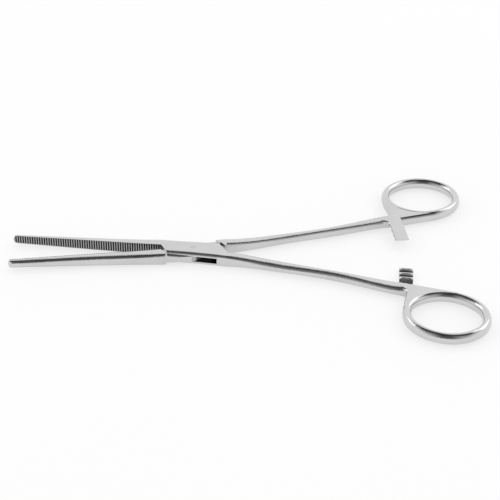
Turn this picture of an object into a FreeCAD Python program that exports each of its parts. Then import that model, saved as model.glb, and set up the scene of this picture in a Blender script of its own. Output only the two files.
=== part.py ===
import FreeCAD, Part
import math
import os
from FreeCAD import Vector

# Haemostat forceps with a box lock, in millimetres.
# Both halves are drawn closed, along X: jaws towards -X, finger rings towards +X.
# The pivot axis is Z, and the mid plane of both halves is z = 0 until the last step,
# which opens the halves and lifts the whole instrument onto the plane z = 0.

# Opening between the two halves as the instrument lies at rest, in degrees
rest_opening = 12.6

# Jaws
jaw_length = 63.4
jaw_neck_at = 6.3
jaw_middle_at = 25.4
jaw_heel_width = 4.5
jaw_neck_width = 4.25
jaw_middle_width = 3.25
jaw_tip_width = 1.95
jaw_heel_thickness = 5.4
jaw_tip_thickness = 3.5
jaw_crown = 1.45
jaw_crown_drop = 1.3
jaw_crown_share = 0.7
jaw_tip_side_round = 1.9
jaw_tip_plan_round = 1.6

# Serrations across the gripping faces, which mesh when the jaws close
serration_count = 62
serration_height = 0.42
jaw_gap = 0.1

# Box lock
box_thickness = 5.6
box_half_width = 4.65
box_flare = 0.7
box_edge_round = 1.25
shoulder_reach = 13.5
shoulder_angle = 35.5
shoulder_gap = 0.15
shoulder_tip_round = 1.4
slot_height = 2.6
slot_mouth = 10.9
tongue_face_gap = 0.05
tongue_relief = 0.4
tongue_lean = 10.7
tongue_end_gap = 0.25

# Rivet pin through the box
pin_radius = 1.25
pin_running_gap = 0.04

# Shanks
shank_length = 75.1
shank_neck_start = 7.5
shank_neck_end = 19.5
shank_middle_at = 36.0
shank_thickness = 4.0
shank_neck_width = 4.2
shank_middle_width = 3.5
shank_end_width = 4.7
shank_end_thickness = 4.7
shank_crown = 1.7
shank_start = 1.3
shank_slope = 9.6
shank_bend_length = 14.0
shank_inner_round = 0.8
shank_end_round = 1.4

# Finger rings
ring_hole_length = 28.0
ring_hole_width = 23.4
ring_wire_width = 3.6
ring_wire_height = 5.0
ring_end_radius = 12.0
ring_web_round = 1.2
ring_web_lean = 7.5
ring_crotch_round = 2.4

# Ratchet bars
ratchet_width = 5.8
ratchet_reach = 2.3
ratchet_tip_thickness = 0.5
ratchet_root_thickness = 0.5
ratchet_edge_round = 0.8
ratchet_teeth = 3
tooth_pitch = 3.1
tooth_land = 0.4
tooth_crest_lift = 0.2
tooth_slope_gap = 0.12
tooth_side_bevel = 1.4
tooth_side_drop = 1.05
ratchet_gusset = 3.0
ratchet_gusset_thickness = 1.3

# Places and angles that follow from the sizes above
half_box = box_thickness / 2
half_end = shank_end_thickness / 2
half_slot = slot_height / 2
shoulder_tan = math.tan(math.radians(shoulder_angle))
shank_tan = math.tan(math.radians(shank_slope))
heel_x = -shoulder_reach
tip_x = heel_x - jaw_length
fork_x = shoulder_reach + shank_start * shoulder_tan
shank_end_x = fork_x + shank_length
box_end_half_width = box_half_width + box_flare
ring_semi_x = (ring_hole_length + ring_wire_width) / 2
ring_semi_y = (ring_hole_width + ring_wire_width) / 2
ring_x = shank_end_x + ring_semi_x
ratchet_x = shank_end_x

# Half the size of a cutting shape that has to reach past everything, and the handle length
# that makes a cubic curve follow a quarter of a circle
PLENTY = 40.0
QUARTER_ARC = 0.5523


def shank_inner(x):
    """Distance from the centre line to a shank's inner edge at x."""
    along = max(0.0, x - fork_x)
    bend = min(along, shank_bend_length)
    return shank_start + shank_tan * (along - bend + bend * bend / (2 * shank_bend_length))


# The line of a shank's inner edge runs on as a tangent to its finger ring
ring_outer_x = ring_semi_x + ring_wire_width / 2
ring_outer_y = ring_semi_y + ring_wire_width / 2
ring_rise = math.hypot(ring_outer_x * shank_tan, ring_outer_y)
ring_y = -(shank_inner(ring_x) + ring_rise)
ring_tangent_x = ring_x + ring_outer_x ** 2 * shank_tan / ring_rise


def rounded_corner(start, corner, end):
    """A quarter of an ellipse from start to end, tangent to both sides of the corner."""
    handles = [start + (corner - start) * QUARTER_ARC, end + (corner - end) * QUARTER_ARC]
    curve = Part.BezierCurve()
    curve.setPoles([start] + handles + [end])
    return curve.toShape()


def bar_section(x, inner, outer, half_height, inner_round, crown, crown_drop):
    """A cross-section at x: its inner side has small radii or none, its outer side is crowned."""
    side = math.copysign(1.0, outer - inner)
    outline = [
        ((inner, half_height), inner_round, inner_round),
        ((outer, half_height), crown, crown_drop),
        ((outer, -half_height), crown, crown_drop),
        ((inner, -half_height), inner_round, inner_round),
    ]
    edges = []
    corner_starts = []
    for i, ((y, z), across, down) in enumerate(outline):
        inward = side if y == inner else -side
        along_side = Vector(x, y, z - math.copysign(down, z))
        along_top = Vector(x, y + inward * across, z)
        start, end = (along_side, along_top) if i % 2 == 0 else (along_top, along_side)
        corner_starts.append((start, end))
        if across > 0:
            edges.append(rounded_corner(start, Vector(x, y, z), end))
    lines = []
    for i, (start, end) in enumerate(corner_starts):
        following = corner_starts[(i + 1) % len(corner_starts)][0]
        lines.append(Part.LineSegment(end, following).toShape())
    return Part.Wire(Part.__sortEdges__(edges + lines))


def plan_prism(points, low, high):
    """A plan outline, given as (x, y) points, extruded from z = low to z = high."""
    corners = [Vector(x, y, low) for x, y in points]
    return Part.Face(Part.makePolygon(corners + corners[:1])).extrude(Vector(0, 0, high - low))


def gripping_wave(mesh_side):
    """The serrated line of a gripping face from heel to tip, as (x, y) points."""
    pitch = jaw_length / serration_count
    middle = jaw_gap / 2
    points = []
    for i in range(2 * serration_count + 1):
        swing = serration_height / 2 * (-1) ** i * mesh_side
        points.append((heel_x - i * pitch / 2, middle + swing))
    return points


def tip_envelope(radius, turn):
    """A prism that is round at the jaws' tip and wide behind it, turned about X by turn degrees."""
    centre_x = tip_x + radius
    corners = [Vector(centre_x, radius, -PLENTY), Vector(centre_x, PLENTY, -PLENTY),
               Vector(PLENTY, PLENTY, -PLENTY), Vector(PLENTY, -PLENTY, -PLENTY),
               Vector(centre_x, -PLENTY, -PLENTY), Vector(centre_x, -radius, -PLENTY)]
    edges = [Part.LineSegment(a, b).toShape() for a, b in zip(corners, corners[1:])]
    edges.append(Part.Arc(corners[-1], Vector(tip_x, 0, -PLENTY), corners[0]).toShape())
    prism = Part.Face(Part.Wire(edges)).extrude(Vector(0, 0, 2 * PLENTY))
    prism.rotate(Vector(0, 0, 0), Vector(1, 0, 0), turn)
    return prism


def jaw(mesh_side):
    """A tapering jaw with a serrated gripping face near y = 0, a crowned back and a rounded tip."""
    taper = [
        (jaw_neck_at, jaw_neck_width),
        (jaw_middle_at, jaw_middle_width),
        ((jaw_middle_at + jaw_length) / 2, (jaw_middle_width + jaw_tip_width) / 2),
        (jaw_length, jaw_tip_width),
    ]
    edge = box_edge_round
    sections = [bar_section(heel_x, -serration_height, jaw_heel_width, half_box, 0, edge, edge)]
    for distance, width in taper:
        thinning = (jaw_heel_thickness - jaw_tip_thickness) * distance / jaw_length
        half_thickness = (jaw_heel_thickness - thinning) / 2
        crown = min(jaw_crown, jaw_crown_share * width)
        x = heel_x - distance
        section = bar_section(x, -serration_height, width, half_thickness, 0, crown, jaw_crown_drop)
        sections.append(section)
    blank = Part.makeLoft(sections, True, False)
    wave = gripping_wave(mesh_side)
    bite = plan_prism([(heel_x, -PLENTY)] + wave + [(tip_x, -PLENTY)], -PLENTY, PLENTY)
    rounded = blank.common(tip_envelope(jaw_tip_side_round, 90))
    return rounded.common(tip_envelope(jaw_tip_plan_round, 0)).cut(bite)


def shank():
    """A shank from the fork behind the box to its finger ring, thinning from the box's thickness."""
    neck_thickness = (box_thickness + shank_thickness) / 2
    neck_crown = (box_edge_round + shank_crown) / 2
    back_width = (shank_middle_width + shank_end_width) / 2
    back_at = (shank_middle_at + shank_length) / 2
    stations = [
        (0, box_end_half_width - shank_start, box_thickness, box_edge_round),
        (shank_neck_start, shank_neck_width, neck_thickness, neck_crown),
        (shank_neck_end, shank_neck_width, shank_thickness, shank_crown),
        (shank_middle_at, shank_middle_width, shank_thickness, shank_crown),
        (back_at, back_width, shank_thickness, shank_crown),
        (shank_length, shank_end_width, shank_end_thickness, shank_crown),
    ]
    sections = []
    for distance, width, thickness, crown in stations:
        x = fork_x + distance
        inner = -shank_inner(x)
        inner_round = shank_inner_round + (shank_end_round - shank_inner_round) * distance / shank_length
        section = bar_section(x, inner, inner - width, thickness / 2, inner_round, crown, crown)
        sections.append(section)
    return Part.makeLoft(sections, True, False)


def finger_ring():
    """An oval ring of oval wire, a little thinner than the box, swept along four tangent arcs."""
    small = ring_end_radius
    end_reach = ring_semi_x - small
    large = (end_reach ** 2 + ring_semi_y ** 2 - small ** 2) / (2 * (ring_semi_y - small))
    side_reach = large - ring_semi_y
    join = math.degrees(math.atan2(side_reach, end_reach))
    arcs = [
        (Vector(end_reach, 0, 0), small, -join, join),
        (Vector(0, -side_reach, 0), large, join, 180 - join),
        (Vector(-end_reach, 0, 0), small, 180 - join, 180 + join),
        (Vector(0, side_reach, 0), large, 180 + join, 360 - join),
    ]
    lengths = []
    for centre, radius, start, end in arcs:
        centre = centre + Vector(ring_x, ring_y, 0)
        middle = centre + Vector(radius, 0, 0)
        top = middle + Vector(0, 0, ring_wire_height / 2)
        side = middle + Vector(ring_wire_width / 2, 0, 0)
        section = Part.Face(Part.Wire(Part.Ellipse(top, side, middle).toShape()))
        length = section.revolve(centre, Vector(0, 0, 1), end - start)
        length.rotate(centre, Vector(0, 0, 1), start)
        lengths.append(length)
    return lengths[0].fuse(lengths[1:]).removeSplitter()


def shank_outer(x):
    """The y of a shank's outer edge near its end."""
    return -shank_inner(x) - shank_end_width


def edges_between(shape, x1, x2):
    """The straight edges of a shape that run from one x to the other."""
    wanted = {round(x1, 3), round(x2, 3)}
    found = []
    for edge in shape.Edges:
        if {round(vertex.Point.x, 3) for vertex in edge.Vertexes} == wanted:
            found.append(edge)
    return found


def ring_web():
    """The flat corner that joins the shank's end and the ratchet bar to the ring."""
    lean = math.radians(ring_web_lean)
    touch_x = ring_x - ring_outer_x * math.cos(lean)
    touch_y = ring_y + ring_outer_y * math.sin(lean)
    start = ratchet_x - ratchet_width / 2
    outline = [
        (start, -shank_inner(start)),
        (ring_tangent_x, -shank_inner(ring_tangent_x)),
        (ring_x, ring_y),
        (touch_x, touch_y),
        (ratchet_x, shank_outer(ratchet_x)),
        (start, shank_outer(start) + shank_crown),
    ]
    web = plan_prism(outline, -half_end, half_end)
    web = web.makeFillet(ring_web_round, edges_between(web, touch_x, ratchet_x))
    web = web.makeFillet(shank_crown, edges_between(web, start, ring_tangent_x))
    centre = Vector(ring_x, ring_y, -PLENTY)
    hole = Part.Face(Part.Wire(Part.Ellipse(centre, ring_semi_x, ring_semi_y).toShape()))
    return web.cut(hole.extrude(Vector(0, 0, 2 * PLENTY)))


def ring_crotch():
    """The hollow corner between the shank's outer edge and the ring, with rounded lips."""
    radius = ring_crotch_round
    foot = ratchet_x - radius
    centre = Vector(foot, shank_outer(foot) - radius, -half_end)
    inside = shank_outer(foot) + shank_crown
    corner = [
        (foot, inside),
        (ratchet_x + radius, inside),
        (ratchet_x + radius, centre.y),
        (foot, centre.y),
    ]
    plate = plan_prism(corner, -half_end, half_end)
    plate = plate.cut(Part.makeCylinder(radius, shank_end_thickness, centre))
    lips = [e for e in plate.Edges if isinstance(e.Curve, Part.Circle)]
    return plate.makeFillet(ring_web_round, lips)


def ratchet_bar():
    """The lower bar, with teeth on top whose steep faces look back at their own ring."""
    root_z = ratchet_root_thickness - half_end
    tip_z = ratchet_tip_thickness - half_end
    # The first land ends where two closed bars leave the wanted gap between their lead-in slopes
    share = (tooth_crest_lift + tooth_slope_gap / 2) / (tooth_crest_lift - tip_z)
    first_crest = -ratchet_reach * share / (1 - share) - tooth_land
    root_y = -shank_inner(ratchet_x) - half_end
    profile = [(ratchet_reach, -half_end), (ratchet_reach, tip_z)]
    for i in range(ratchet_teeth):
        crest_y = first_crest - i * tooth_pitch
        profile.append((crest_y + tooth_land, tooth_crest_lift))
        profile.append((crest_y, tooth_crest_lift))
        profile.append((crest_y, root_z))
    profile += [(root_y, root_z), (root_y, -half_end)]
    left = ratchet_x - ratchet_width / 2
    corners = [Vector(left, y, z) for y, z in profile]
    bar = Part.Face(Part.makePolygon(corners + corners[:1])).extrude(Vector(ratchet_width, 0, 0))

    right = left + ratchet_width
    shoulder_z = tooth_crest_lift - tooth_side_drop
    section = [
        (left, -half_end),
        (left, shoulder_z),
        (left + tooth_side_bevel, tooth_crest_lift),
        (right - tooth_side_bevel, tooth_crest_lift),
        (right, shoulder_z),
        (right, -half_end),
    ]
    corners = [Vector(x, root_y, z) for x, z in section]
    face = Part.Face(Part.makePolygon(corners + corners[:1]))
    envelope = face.extrude(Vector(0, ratchet_reach - root_y, 0))
    middle_z = (root_z - half_end) / 2
    back_edges = []
    for edge in envelope.Edges:
        a, b = edge.Vertexes[0].Point, edge.Vertexes[-1].Point
        if max(a.z, b.z) < middle_z and abs(a.x - b.x) < ratchet_edge_round:
            back_edges.append(edge)
    return bar.common(envelope.makeFillet(ratchet_edge_round, back_edges))


def ratchet_gusset_plate():
    """The hollow corner that braces the bar against its shank, with rounded lips at its back."""
    left = ratchet_x - ratchet_width / 2
    top_z = ratchet_gusset_thickness - half_end
    foot = left - ratchet_gusset
    centre = Vector(foot, -shank_inner(left) + ratchet_gusset, -half_end)
    corner = [
        (foot, -shank_inner(foot) - half_end),
        (left + half_end, -shank_inner(left) - half_end),
        (left + half_end, centre.y),
        (foot, centre.y),
    ]
    plate = plan_prism(corner, -half_end, top_z)
    plate = plate.cut(Part.makeCylinder(ratchet_gusset, half_end, centre))
    middle_z = (top_z - half_end) / 2
    lips = [e for e in plate.Edges if isinstance(e.Curve, Part.Circle) and e.BoundBox.ZMax < middle_z]
    return plate.makeFillet(ratchet_edge_round, lips)


def block(outline):
    """The box-thick middle of a half, between its jaw and its shank, cut to a plan outline."""
    stations = [(heel_x, jaw_heel_width), (0.0, box_half_width), (fork_x, box_end_half_width)]
    edge = box_edge_round
    sections = [bar_section(x, -side, side, half_box, edge, edge, edge) for x, side in stations]
    return Part.makeLoft(sections, True, False).common(plan_prism(outline, -PLENTY, PLENTY))


def half(mesh_side, outline):
    """One half as a single forging: jaw, middle block, shank, finger ring and ratchet bar."""
    handle = [shank(), finger_ring(), ring_web(), ring_crotch(), ratchet_bar(), ratchet_gusset_plate()]
    return jaw(mesh_side).fuse([block(outline)] + handle).removeSplitter()


def box_outline():
    """The box half's middle in plan: its cheeks end in slanted shoulders at both ends."""
    return [
        (heel_x, 0),
        (heel_x, PLENTY),
        (shoulder_reach - PLENTY * shoulder_tan, PLENTY),
        (fork_x, -shank_start),
        (fork_x, -PLENTY),
        (heel_x + PLENTY * shoulder_tan, -PLENTY),
    ]


def tongue_outline():
    """The tongue half's middle in plan: a band that crosses the box and fills most of its slot.

    Each flank leaves the box's side just past the pivot and leans inwards until it meets the
    line of the slot's end, which it follows from there.
    """
    side = box_half_width
    lean = math.tan(math.radians(tongue_lean))
    slot_lean = (shoulder_reach + tongue_end_gap - slot_mouth) / side
    flank_end = (slot_mouth - tongue_end_gap + slot_lean * lean * tongue_relief) / (1 - slot_lean * lean)
    flank_y = side - lean * (flank_end - tongue_relief)
    return [
        (heel_x, tongue_end_gap),
        (-flank_end, -flank_y),
        (-tongue_relief, -side),
        (-tongue_relief, -PLENTY),
        (fork_x, -PLENTY),
        (fork_x, -shank_start),
        (shoulder_reach, -tongue_end_gap),
        (flank_end, flank_y),
        (tongue_relief, side),
        (tongue_relief, PLENTY),
        (heel_x, PLENTY),
    ]


def slot():
    """The window through the box that the tongue crosses, closed at the jaw and at the shank."""
    end = shoulder_reach + tongue_end_gap
    lean = (end - slot_mouth) / box_half_width * PLENTY
    corners = [
        (-end, 0),
        (lean - end, PLENTY),
        (end, PLENTY),
        (end, 0),
        (end - lean, -PLENTY),
        (-end, -PLENTY),
    ]
    return plan_prism(corners, -half_slot, half_slot)


def cheek_room(low, high):
    """The space that the tongue half leaves for one of the box's cheeks, between the shoulders.

    It also rounds off, in plan, the sharp end of the jaw's heel beside the cheek.
    """
    turn = math.radians(shoulder_angle)
    reach = shoulder_reach + shoulder_gap / math.cos(turn)
    lean = PLENTY * shoulder_tan
    corners = [
        (lean - reach, PLENTY),
        (lean + reach, PLENTY),
        (reach - lean, -PLENTY),
        (-reach - lean, -PLENTY),
    ]
    room = plan_prism(corners, low, high)
    side = box_half_width
    end_x = side * shoulder_tan - reach
    taken = shoulder_tip_round / math.tan((math.pi / 2 - turn) / 2)
    round_x, round_y = end_x - taken, side - shoulder_tip_round
    tip = [
        (round_x, round_y),
        (round_x, side + box_edge_round),
        (end_x, side + box_edge_round),
        (end_x, side),
        (end_x - taken * math.sin(turn), side - taken * math.cos(turn)),
    ]
    rod = Part.makeCylinder(shoulder_tip_round, high - low, Vector(round_x, round_y, low))
    return room.fuse(plan_prism(tip, low, high).cut(rod))


def pin_hole(radius):
    return Part.makeCylinder(radius, box_thickness, Vector(0, 0, -half_box))


def box_half():
    """The female half, with the slot through its box. It is drawn in its own closed place."""
    return half(1, box_outline()).cut(slot()).cut(pin_hole(pin_radius))


def tongue_half():
    """The male half: drawn like the box half, thinned to a tongue, then turned over about X."""
    face = half_slot - tongue_face_gap
    body = half(-1, tongue_outline())
    body = body.cut(cheek_room(face, PLENTY)).cut(cheek_room(-PLENTY, -face))
    body = body.cut(pin_hole(pin_radius + pin_running_gap))
    body.rotate(Vector(0, 0, 0), Vector(1, 0, 0), 180)
    return body


def pivot_pin():
    """The rivet, ground flush with the box's two faces."""
    return pin_hole(pin_radius)


def place(shape, turn):
    """Turn a closed piece about the pivot and lift it so that the instrument lies on z = 0."""
    shape.rotate(Vector(0, 0, 0), Vector(0, 0, 1), turn)
    shape.translate(Vector(0, 0, half_box))
    return shape


os.makedirs("parts", exist_ok=True)
nodes = {
    "box_half": place(box_half(), -rest_opening / 2),
    "tongue_half": place(tongue_half(), rest_opening / 2),
    "pivot_pin": place(pivot_pin(), 0),
}
for name, shape in nodes.items():
    shape.exportStep("parts/" + name + ".step")
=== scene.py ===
import math

import bmesh
import bpy
from mathutils import Matrix, Vector


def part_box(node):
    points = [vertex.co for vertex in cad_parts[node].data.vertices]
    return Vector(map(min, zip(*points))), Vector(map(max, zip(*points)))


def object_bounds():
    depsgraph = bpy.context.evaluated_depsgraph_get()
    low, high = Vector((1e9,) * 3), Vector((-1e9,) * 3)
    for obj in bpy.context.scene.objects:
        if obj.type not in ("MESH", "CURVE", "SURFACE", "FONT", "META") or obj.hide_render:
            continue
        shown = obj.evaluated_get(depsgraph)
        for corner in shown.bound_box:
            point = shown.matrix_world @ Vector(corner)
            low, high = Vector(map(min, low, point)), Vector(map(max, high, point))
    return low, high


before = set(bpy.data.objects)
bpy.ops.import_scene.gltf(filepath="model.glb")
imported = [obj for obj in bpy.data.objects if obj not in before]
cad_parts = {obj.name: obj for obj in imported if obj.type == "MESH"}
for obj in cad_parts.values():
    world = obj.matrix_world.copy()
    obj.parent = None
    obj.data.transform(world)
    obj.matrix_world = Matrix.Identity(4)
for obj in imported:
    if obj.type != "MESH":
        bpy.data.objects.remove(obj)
cad_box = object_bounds()

# The photograph's camera, fitted to the pivot, the jaw tips and the two finger rings.
# Lengths are in metres. The image is 500 x 500 pixels.
IMAGE_WIDTH = 500
SENSOR_WIDTH = 36.0
FOCAL_LENGTH_IN_PIXELS = 1253.1
CAMERA_AZIMUTH = math.radians(1.559)
CAMERA_ELEVATION = math.radians(35.477)
CAMERA_ROLL = math.radians(1.368)
PIVOT_RIGHT_OF_VIEW = -0.023987
PIVOT_BELOW_VIEW = 0.001045
PIVOT_DISTANCE = 0.5277

# Places that the finishes, the lights and the camera refer to, all taken from the frame. The rings
# take up the last 17 hundredths of the length.
pin_low, pin_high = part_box("pivot_pin")
PIVOT = (pin_low + pin_high) / 2
LENGTH = cad_box[1].x - cad_box[0].x
RING_START_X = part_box("box_half")[1].x - 0.17 * LENGTH

# The shade painted into the jaws' serrations: how far each arm is turned from its closed place,
# where its jaw begins, and how far the crests, the roots and the solid jaw behind them lie from the
# arm's own axis
ARM_TURN = math.radians(6.3)
JAW_HEEL_X = -0.0135
CREST_Y = -0.00012
ROOT_Y = 0.00006
BODY_Y = 0.00027

# The shade painted into the box lock's slot: how far it reaches from the pivot along each of the
# arm's axes, with the width of its soft edge, how far from the pivot its painted dark window
# begins, and where the painted dark notch at the shoulder does
SLOT_REACH = {"X": (0.0122, 0.0002), "Y": (0.00475, 0.0003), "Z": (0.00131, 0.00002)}
WINDOW_START = 0.0008
NOTCH_START = 0.0103
SOFT_EDGE = 0.0003

# The greys of the canopy's middle, of its sides and of the part over the rings, by angle over the
# forceps' top, where 0 is the horizon behind them and 180 the one in front. The middle passes into
# the sides between two angles to either side of straight ahead, and the sides into the part over
# the rings between two shares of the canopy's radius.
CANOPY_MIDDLE = [(54, 0.9), (62, 0.03), (100, 0.03), (125, 0.05), (150, 0.10), (178, 0.22)]
CANOPY_SIDES = [(58, 0.9), (72, 0.05), (96, 0.05), (118, 0.15), (145, 0.44), (178, 0.68)]
CANOPY_RINGS = [(70, 0.9), (81, 0.03), (100, 0.04), (122, 0.15), (145, 0.44), (178, 0.68)]
MIDDLE_TO_SIDES = (math.radians(12), math.radians(34))
SIDES_TO_RINGS = (0.10, 0.17)

# The dark grey of the shade painted into the serrations and the box lock's slot, and the white that
# the canopy fades to
PAINTED_SHADE_GREY = 0.06
CANOPY_WHITE = 0.95


def shader_tree(name):
    """A new material with an empty Principled surface, as (material, nodes, links, surface)."""
    material = bpy.data.materials.new(name)
    material.use_nodes = True
    nodes, links = material.node_tree.nodes, material.node_tree.links
    return material, nodes, links, nodes["Principled BSDF"]


def own_place(nodes):
    """The place on the piece's own axes."""
    return nodes.new("ShaderNodeTexCoord").outputs["Object"]


def split_axes(nodes, links, place):
    """The X, Y and Z outputs of a place."""
    split = nodes.new("ShaderNodeSeparateXYZ")
    links.new(place, split.inputs["Vector"])
    return split.outputs


def arm_axes(nodes, links, arm_turn):
    """X along the arm from the pivot, Y across it and Z up, as if the arm were closed."""
    turned = nodes.new("ShaderNodeMapping")
    turned.inputs["Location"].default_value = (0, 0, -PIVOT.z)
    turned.inputs["Rotation"].default_value = (0, 0, -arm_turn)
    links.new(own_place(nodes), turned.inputs["Vector"])
    return split_axes(nodes, links, turned.outputs["Vector"])


def stretched_noise(nodes, links, stretch):
    """Noise on the piece's own coordinates, drawn out along the axes whose stretch is small."""
    mapping = nodes.new("ShaderNodeMapping")
    mapping.inputs["Scale"].default_value = stretch
    noise = nodes.new("ShaderNodeTexNoise")
    noise.inputs["Scale"].default_value = 1.0
    noise.inputs["Detail"].default_value = 4.0
    links.new(own_place(nodes), mapping.inputs["Vector"])
    links.new(mapping.outputs["Vector"], noise.inputs["Vector"])
    return noise.outputs["Fac"]


def remapped(nodes, links, value, low, high, start=0.3, end=0.7):
    """The value spread from start..end onto low..high."""
    spread = nodes.new("ShaderNodeMapRange")
    spread.inputs["From Min"].default_value = start
    spread.inputs["From Max"].default_value = end
    spread.inputs["To Min"].default_value = low
    spread.inputs["To Max"].default_value = high
    links.new(value, spread.inputs["Value"])
    return spread.outputs["Result"]


def computed(nodes, links, operation, *terms):
    """The outcome of a maths operation on outputs and plain numbers."""
    maths = nodes.new("ShaderNodeMath")
    maths.operation = operation
    for socket, term in zip(maths.inputs, terms):
        if isinstance(term, (int, float)):
            socket.default_value = term
        else:
            links.new(term, socket)
    return maths.outputs["Value"]


def blended(nodes, links, share, one, other):
    """A value between two outputs."""
    blend = nodes.new("ShaderNodeMix")
    links.new(share, blend.inputs["Factor"])
    links.new(one, blend.inputs["A"])
    links.new(other, blend.inputs["B"])
    return blend.outputs["Result"]


def blended_colour(nodes, links, share, one, other):
    """A colour between a colour output and another output or a plain grey."""
    blend = nodes.new("ShaderNodeMix")
    blend.data_type = "RGBA"
    links.new(share, blend.inputs["Factor"])
    links.new(one, blend.inputs[6])
    if isinstance(other, float):
        blend.inputs[7].default_value = (other, other, other, 1)
    else:
        links.new(other, blend.inputs[7])
    return blend.outputs[2]


def two_tones(nodes, links, value, dark, light):
    """A colour between two tones of the same metal."""
    ramp = nodes.new("ShaderNodeValToRGB")
    ramp.color_ramp.elements[0].position = 0.3
    ramp.color_ramp.elements[0].color = (*dark, 1)
    ramp.color_ramp.elements[1].position = 0.7
    ramp.color_ramp.elements[1].color = (*light, 1)
    links.new(value, ramp.inputs["Fac"])
    return ramp.outputs["Color"]


def groove_shade(nodes, links, arm_turn, side):
    """1 in the roots of the jaw's serrations, where shade is painted into the colour, and 0
    elsewhere.
    """
    axes = arm_axes(nodes, links, arm_turn)
    below_crest = remapped(nodes, links, axes["Y"], 0, 1, side * CREST_Y, side * ROOT_Y)
    inside = remapped(nodes, links, axes["Y"], 1, 0, side * BODY_Y, side * (BODY_Y + 0.00005))
    on_jaw = remapped(nodes, links, axes["X"], 1, 0, JAW_HEEL_X - SOFT_EDGE, JAW_HEEL_X)
    shade = computed(nodes, links, "MULTIPLY", below_crest, inside)
    return computed(nodes, links, "MULTIPLY", shade, on_jaw)


def box_lock_shade(nodes, links, arm_turn):
    """1 inside the slot of the box lock, where shade is painted into the steel's colour, and 0
    elsewhere.

    On the front side the slot starts at the window, and on the back side it ends there, with the
    notch at the shoulder beyond it.
    """
    axes = arm_axes(nodes, links, arm_turn)
    back = remapped(nodes, links, axes["Y"], 0, 1, 0, 0.0001)
    front_window = remapped(nodes, links, axes["X"], 0, 1, -WINDOW_START - SOFT_EDGE, -WINDOW_START)
    back_window = remapped(nodes, links, axes["X"], 1, 0, WINDOW_START, WINDOW_START + SOFT_EDGE)
    notch = remapped(nodes, links, axes["X"], 0, 1, NOTCH_START, NOTCH_START + SOFT_EDGE)
    shade = blended(nodes, links, back, front_window,
                    computed(nodes, links, "MAXIMUM", back_window, notch))
    for axis, (reach, fade) in SLOT_REACH.items():
        distance = computed(nodes, links, "ABSOLUTE", axes[axis])
        inside = remapped(nodes, links, distance, 1, 0, reach - fade, reach)
        shade = computed(nodes, links, "MULTIPLY", shade, inside)
    return shade


def satin_steel(name, arm_turn, side):
    """Satin stainless steel, brushed along the arms, glossier on the rings, with shade painted as a
    dark grey into the serrations and the box lock's slot."""
    material, nodes, links, surface = shader_tree(name)
    surface.inputs["Metallic"].default_value = 1.0
    cloud = stretched_noise(nodes, links, (60, 60, 60))
    steel = two_tones(nodes, links, cloud, (0.615, 0.615, 0.615), (0.67, 0.67, 0.67))
    # Painted shade: the serrations' roots and the box lock's slot have their colour blended to a
    # dark grey.
    shade = computed(nodes, links, "MAXIMUM", groove_shade(nodes, links, arm_turn, side),
                     box_lock_shade(nodes, links, arm_turn))
    links.new(blended_colour(nodes, links, shade, steel, PAINTED_SHADE_GREY),
              surface.inputs["Base Color"])

    grain = stretched_noise(nodes, links, (120, 2600, 2600))
    axes = split_axes(nodes, links, own_place(nodes))
    polish = remapped(nodes, links, axes["X"], 0.0, -0.12, RING_START_X, RING_START_X + 0.01)
    roughness = computed(nodes, links, "ADD", remapped(nodes, links, grain, 0.20, 0.30), polish)
    links.new(roughness, surface.inputs["Roughness"])

    bump = nodes.new("ShaderNodeBump")
    bump.inputs["Strength"].default_value = 0.08
    bump.inputs["Distance"].default_value = 0.00005
    links.new(grain, bump.inputs["Height"])
    links.new(bump.outputs["Normal"], surface.inputs["Normal"])
    return material


def rivet_steel():
    """The rivet's end, turned and ground flush, a shade darker than the arms."""
    material, nodes, links, surface = shader_tree("pin_steel")
    surface.inputs["Metallic"].default_value = 1.0
    grain = stretched_noise(nodes, links, (900, 900, 900))
    links.new(two_tones(nodes, links, grain, (0.54, 0.545, 0.55), (0.62, 0.62, 0.625)),
              surface.inputs["Base Color"])
    links.new(remapped(nodes, links, grain, 0.24, 0.32), surface.inputs["Roughness"])
    return material


def dress(node, material):
    """Give a CAD node its finish."""
    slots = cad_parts[node].data.materials
    slots.clear()
    slots.append(material)


def backdrop_share(nodes, links, share):
    """The share of plain white that the camera, glossy and transmission rays see."""
    path = nodes.new("ShaderNodeLightPath")
    seen = path.outputs["Is Camera Ray"]
    for ray in ("Is Glossy Ray", "Is Transmission Ray"):
        seen = computed(nodes, links, "MAXIMUM", seen, path.outputs[ray])
    return computed(nodes, links, "MULTIPLY", seen, share)


def studio_floor():
    """A plain white floor that the forceps lie on, with a light shadow under them."""
    material, nodes, links, surface = shader_tree("floor_paper")
    surface.inputs["Roughness"].default_value = 0.6
    surface.inputs["Specular IOR Level"].default_value = 0.2
    cloud = stretched_noise(nodes, links, (3, 3, 3))
    links.new(two_tones(nodes, links, cloud, (0.88, 0.88, 0.88), (0.90, 0.90, 0.90)),
              surface.inputs["Base Color"])
    white = nodes.new("ShaderNodeEmission")
    white.inputs["Strength"].default_value = 1.0
    blend = nodes.new("ShaderNodeMixShader")
    links.new(backdrop_share(nodes, links, share=0.66), blend.inputs["Fac"])
    links.new(surface.outputs["BSDF"], blend.inputs[1])
    links.new(white.outputs["Emission"], blend.inputs[2])
    links.new(blend.outputs["Shader"], nodes["Material Output"].inputs["Surface"])
    bpy.ops.mesh.primitive_plane_add(size=8, location=(0, 0, -0.00005))
    floor = bpy.context.object
    floor.name = "studio_floor"
    floor.data.materials.append(material)


def aim(thing, toward):
    """Turn a lamp so that it shines at a point."""
    thing.rotation_mode = "QUATERNION"
    thing.rotation_quaternion = (toward - thing.location).to_track_quat("-Z", "Y")


def direction(azimuth, elevation):
    """A unit vector: azimuth 0 is behind the forceps (+Y), 90 to their right (+X)."""
    a, e = math.radians(azimuth), math.radians(elevation)
    return Vector((math.sin(a) * math.cos(e), math.cos(a) * math.cos(e), math.sin(e)))


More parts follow.
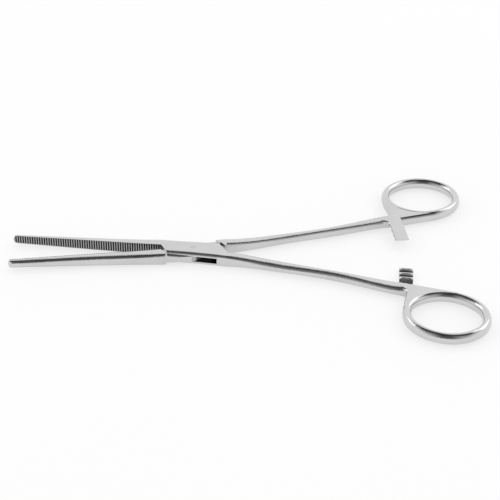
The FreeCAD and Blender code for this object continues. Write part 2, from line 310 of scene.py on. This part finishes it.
def softbox(name, azimuth, elevation, distance, width, height, radiance):
    """A rectangular lamp, whose face adds about radiance to the white of the world behind it."""
    lamp = bpy.data.lights.new(name, "AREA")
    lamp.shape = "RECTANGLE"
    lamp.size, lamp.size_y = width, height
    lamp.energy = radiance * math.pi * width * height
    box = bpy.data.objects.new(name, lamp)
    bpy.context.scene.collection.objects.link(box)
    box.location = PIVOT + direction(azimuth, elevation) * distance
    aim(box, PIVOT)


def shades_by_angle(nodes, links, angle, shades):
    """Greys that follow an angle in radians; shades lists (degrees, grey) in rising order."""
    first, last = shades[0][0], shades[-1][0]
    ramp = nodes.new("ShaderNodeValToRGB")
    stops = ramp.color_ramp.elements
    for stop, (_, grey) in zip(stops, (shades[0], shades[-1])):
        stop.color = (grey, grey, grey, 1)
    for degrees, grey in shades[1:-1]:
        stops.new((degrees - first) / (last - first)).color = (grey, grey, grey, 1)
    links.new(remapped(nodes, links, angle, 0, 1, math.radians(first), math.radians(last)),
              ramp.inputs["Fac"])
    return ramp.outputs["Color"]


def canopy_cloth(radius, edge):
    """The canopy's greys, which glossy surfaces mirror. All others and the camera meet it as white.

    The greys also fade to white over the outer three tenths of edge, the half width of the cloth.
    """
    material, nodes, links, surface = shader_tree("canopy_cloth")
    material.cycles.emission_sampling = "NONE"
    nodes.remove(surface)
    axes = split_axes(nodes, links, own_place(nodes))
    around = computed(nodes, links, "ARCTAN2", axes["Z"], axes["Y"])
    middle, sides, rings = (shades_by_angle(nodes, links, around, shades)
                            for shades in (CANOPY_MIDDLE, CANOPY_SIDES, CANOPY_RINGS))
    start, end = SIDES_TO_RINGS
    over_rings = remapped(nodes, links, axes["X"], 0, 1, start * radius, end * radius)
    sides = blended_colour(nodes, links, over_rings, sides, rings)
    aside = computed(nodes, links, "ABSOLUTE", axes["X"])
    ahead = computed(nodes, links, "MULTIPLY", axes["Y"], -1)
    off_middle = remapped(nodes, links, computed(nodes, links, "ARCTAN2", aside, ahead), 0, 1,
                          *MIDDLE_TO_SIDES)
    greys = blended_colour(nodes, links, off_middle, middle, sides)

    paler = remapped(nodes, links, aside, 0, 1, 0.7 * edge, edge)
    glossy = nodes.new("ShaderNodeLightPath").outputs["Is Glossy Ray"]
    white = computed(nodes, links, "MAXIMUM", paler, computed(nodes, links, "SUBTRACT", 1, glossy))
    glow = nodes.new("ShaderNodeEmission")
    links.new(blended_colour(nodes, links, white, greys, CANOPY_WHITE), glow.inputs["Color"])
    links.new(glow.outputs["Emission"], nodes["Material Output"].inputs["Surface"])
    return material


def dark_canopy(radius, half_width):
    """A graded cloth over the forceps: darkest overhead, paler towards the front and both sides.

    It draws the dark lines along the rounded edges. half_width is its angle to each side.
    """
    back, front = CANOPY_MIDDLE[0][0], CANOPY_MIDDLE[-1][0]
    cloth = bmesh.new()
    bmesh.ops.create_grid(cloth, x_segments=24, y_segments=24, size=1)
    for vertex in cloth.verts:
        aside = math.radians(half_width) * vertex.co.x
        over = math.radians(back + (front - back) * (vertex.co.y + 1) / 2)
        vertex.co = radius * Vector((math.sin(aside), math.cos(aside) * math.cos(over),
                                     math.cos(aside) * math.sin(over)))
    mesh = bpy.data.meshes.new("dark_canopy")
    cloth.to_mesh(mesh)
    cloth.free()
    mesh.materials.append(canopy_cloth(radius, radius * math.sin(math.radians(half_width))))
    canopy = bpy.data.objects.new("dark_canopy", mesh)
    canopy.location = PIVOT
    bpy.context.scene.collection.objects.link(canopy)


def studio_light():
    """A plain white world, a softbox to each side and the dark canopy."""
    world = bpy.data.worlds.new("studio")
    world.use_nodes = True
    world.node_tree.nodes["Background"].inputs["Color"].default_value = (1, 1, 1, 1)
    world.node_tree.nodes["Background"].inputs["Strength"].default_value = 1.0
    bpy.context.scene.world = world
    for name, azimuth in (("left_softbox", -75), ("right_softbox", 70)):
        softbox(name, azimuth, elevation=40, distance=1.0, width=0.65, height=0.55, radiance=1.0)
    dark_canopy(radius=1.5, half_width=62)


def photo_camera():
    """The camera as (right, down, forward) axes, placed so that the pivot falls where it should."""
    sa, ca = math.sin(CAMERA_AZIMUTH), math.cos(CAMERA_AZIMUTH)
    se, ce = math.sin(CAMERA_ELEVATION), math.cos(CAMERA_ELEVATION)
    level_right = Vector((ca, -sa, 0))
    level_down = Vector((-se * sa, -se * ca, -ce))
    forward = Vector((ce * sa, ce * ca, -se))
    right = level_right * math.cos(CAMERA_ROLL) - level_down * math.sin(CAMERA_ROLL)
    down = level_right * math.sin(CAMERA_ROLL) + level_down * math.cos(CAMERA_ROLL)

    lens = bpy.data.cameras.new("photo_camera")
    lens.sensor_width = SENSOR_WIDTH
    lens.lens = FOCAL_LENGTH_IN_PIXELS / IMAGE_WIDTH * SENSOR_WIDTH
    lens.clip_start, lens.clip_end = 0.01, 50
    camera = bpy.data.objects.new("photo_camera", lens)
    bpy.context.scene.collection.objects.link(camera)
    turn = Matrix((right, -down, -forward)).transposed().to_4x4()
    place = PIVOT - right * PIVOT_RIGHT_OF_VIEW - down * PIVOT_BELOW_VIEW - forward * PIVOT_DISTANCE
    camera.matrix_world = Matrix.Translation(place) @ turn
    bpy.context.scene.camera = camera


dress("box_half", satin_steel("satin_steel_box_half", -ARM_TURN, 1))
dress("tongue_half", satin_steel("satin_steel_tongue_half", ARM_TURN, -1))
dress("pivot_pin", rivet_steel())
studio_floor()
studio_light()
photo_camera()
bpy.context.scene.view_settings.view_transform = "Standard"
